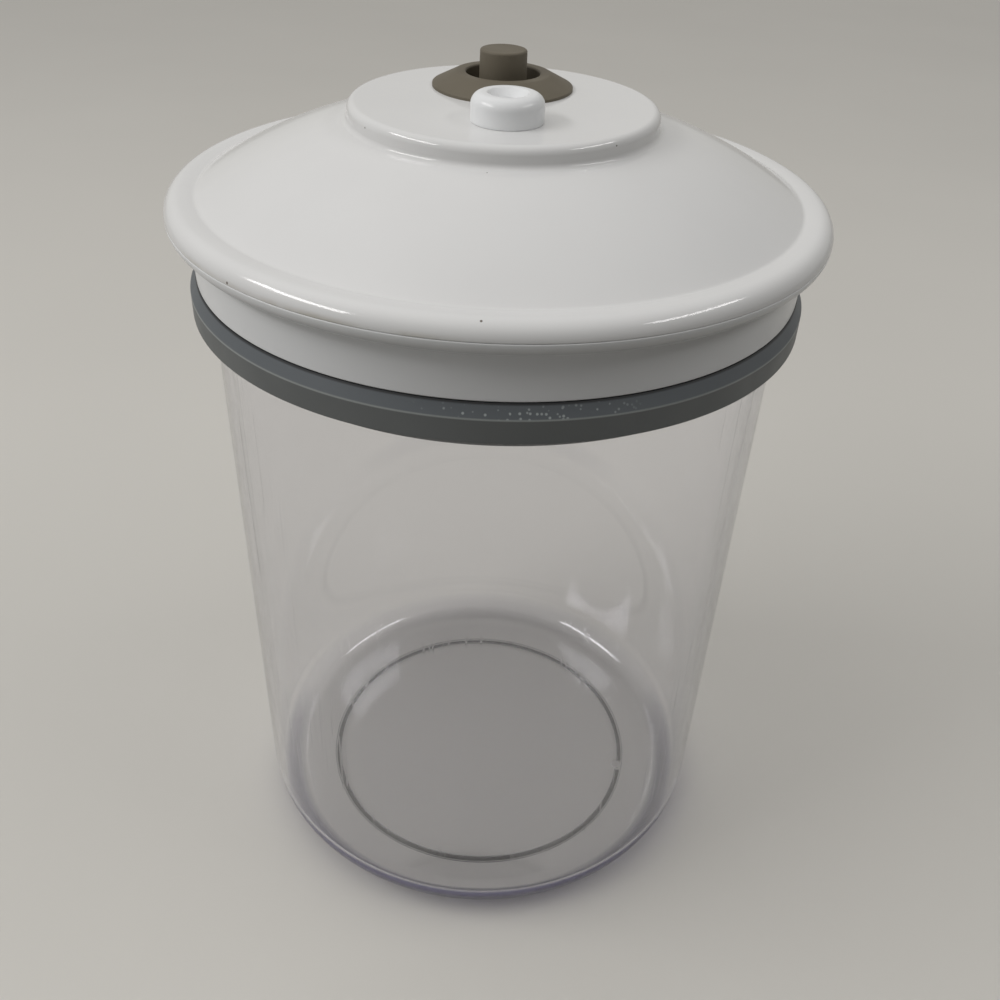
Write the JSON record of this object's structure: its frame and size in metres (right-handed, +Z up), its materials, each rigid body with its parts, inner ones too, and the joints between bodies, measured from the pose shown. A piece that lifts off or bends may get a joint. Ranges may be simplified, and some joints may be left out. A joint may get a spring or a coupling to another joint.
{
  "type": "vacuum seal canister",
  "caption": "Round clear food canister with a white domed lid, a rubber gasket, a hose port with a one-way valve, and a sprung button that lets air back in.",
  "frame": {"origin": "middle of the face that the canister stands on", "axes": "+Z up along the canister's axis, +Y back towards the release button, -Y to the hose port, +X to the right"},
  "size_m": [0.152, 0.152, 0.2157],
  "materials": {
    "clear_plastic": "clear, faint violet tint",
    "white_plastic": "polished white",
    "grey_rubber": "matte dark grey",
    "taupe_rubber": "matte grey brown",
    "stem_plastic": "natural white",
    "valve_rubber": "matte",
    "spring_steel": "drawn wire"
  },
  "bodies": {
    "canister": {"canister_body": "clear_plastic"},
    "lid": {"lid_cover": "white_plastic", "lid_base": "white_plastic", "lid_gasket": "grey_rubber", "valve_collar": "taupe_rubber", "vacuum_port": "white_plastic", "port_o_ring": "valve_rubber", "return_spring": "spring_steel"},
    "release_valve": {"release_button": "taupe_rubber", "valve_stem": "stem_plastic", "valve_disc": "stem_plastic", "valve_seal": "valve_rubber", "retaining_clip": "spring_steel"},
    "one_way_valve": {"check_valve": "valve_rubber"}
  },
  "joints": [
    {"name": "lid_lift", "type": "slide", "parent": "canister", "child": "lid", "axis": [0, 0, 1], "range_m": [0, 0.06]},
    {"name": "button_press", "type": "slide", "parent": "lid", "child": "release_valve", "axis": [0, 0, -1], "range_m": [0, 0.0025], "stiffness_N_per_m": 400, "springref_m": -0.003, "deforming": ["return_spring"]},
    {"name": "check_valve_lift", "type": "slide", "parent": "lid", "child": "one_way_valve", "axis": [0, 0, 1], "range_m": [0, 0.001], "stiffness_N_per_m": 20, "springref_m": -0.001}
  ]
}
